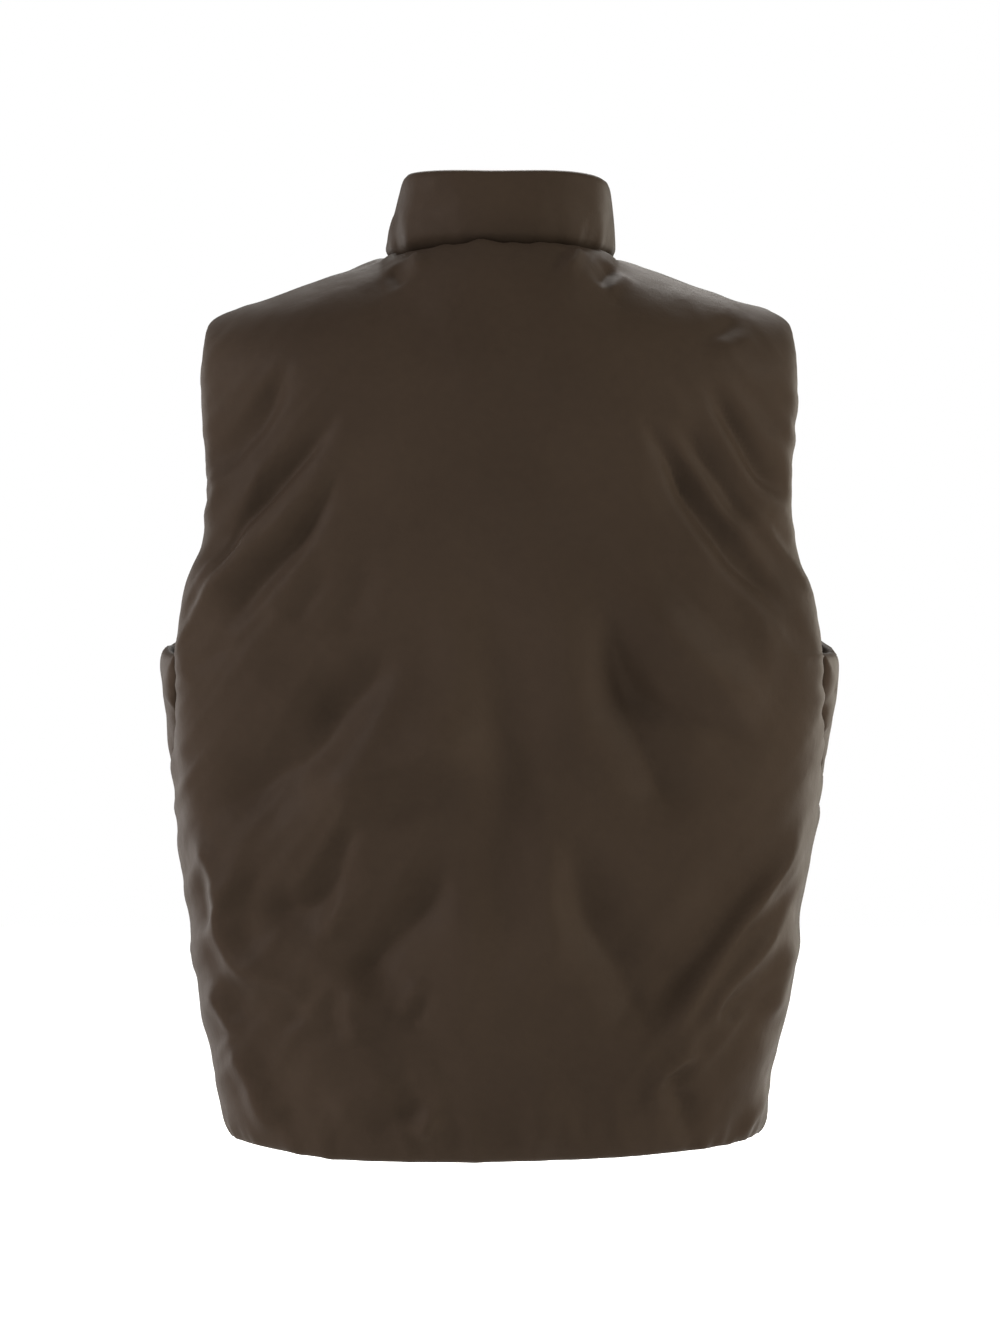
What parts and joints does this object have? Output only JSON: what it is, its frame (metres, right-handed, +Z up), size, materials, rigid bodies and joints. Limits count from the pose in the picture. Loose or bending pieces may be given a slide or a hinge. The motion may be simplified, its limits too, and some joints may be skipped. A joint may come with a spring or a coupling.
{
  "type": "puffer vest",
  "caption": "Padded sleeveless vest with a stand collar and a full front zip, filled out as it hangs on a wearer, open at neck, armholes and hem.",
  "frame": {"origin": "between the shoulders, level with the base of the neck, where the wearer holds the vest up", "axes": "+Z up, -Y to the vest's front with the zip, +Y to its back, +X to the wearer's left"},
  "size_m": [0.5072, 0.3059, 0.7266],
  "materials": {
    "shell_fabric": "dark olive-brown nylon, matte with a soft sheen",
    "zip_tape": "dark woven tape",
    "zip_teeth": "dark moulded plastic",
    "zip_metal": "dark satin enamel"
  },
  "bodies": {
    "vest": {"back": "shell_fabric", "front_left": "shell_fabric", "front_right": "shell_fabric", "collar": "shell_fabric", "zip_tape_left": "zip_tape", "zip_tape_right": "zip_tape", "zip_teeth": "zip_teeth", "zip_retainer_box": "zip_teeth", "zip_top_stop_left": "zip_teeth", "zip_top_stop_right": "zip_teeth", "zip_slider": "zip_metal"},
    "pull_tab": {"zip_pull_tab": "zip_metal"}
  },
  "joints": [
    {"name": "tab_swing", "type": "hinge", "parent": "vest", "child": "pull_tab", "pos_m": [0, -0.09237, 0.01487], "axis": [-1, 0, 0], "range_deg": [0, 120]}
  ]
}
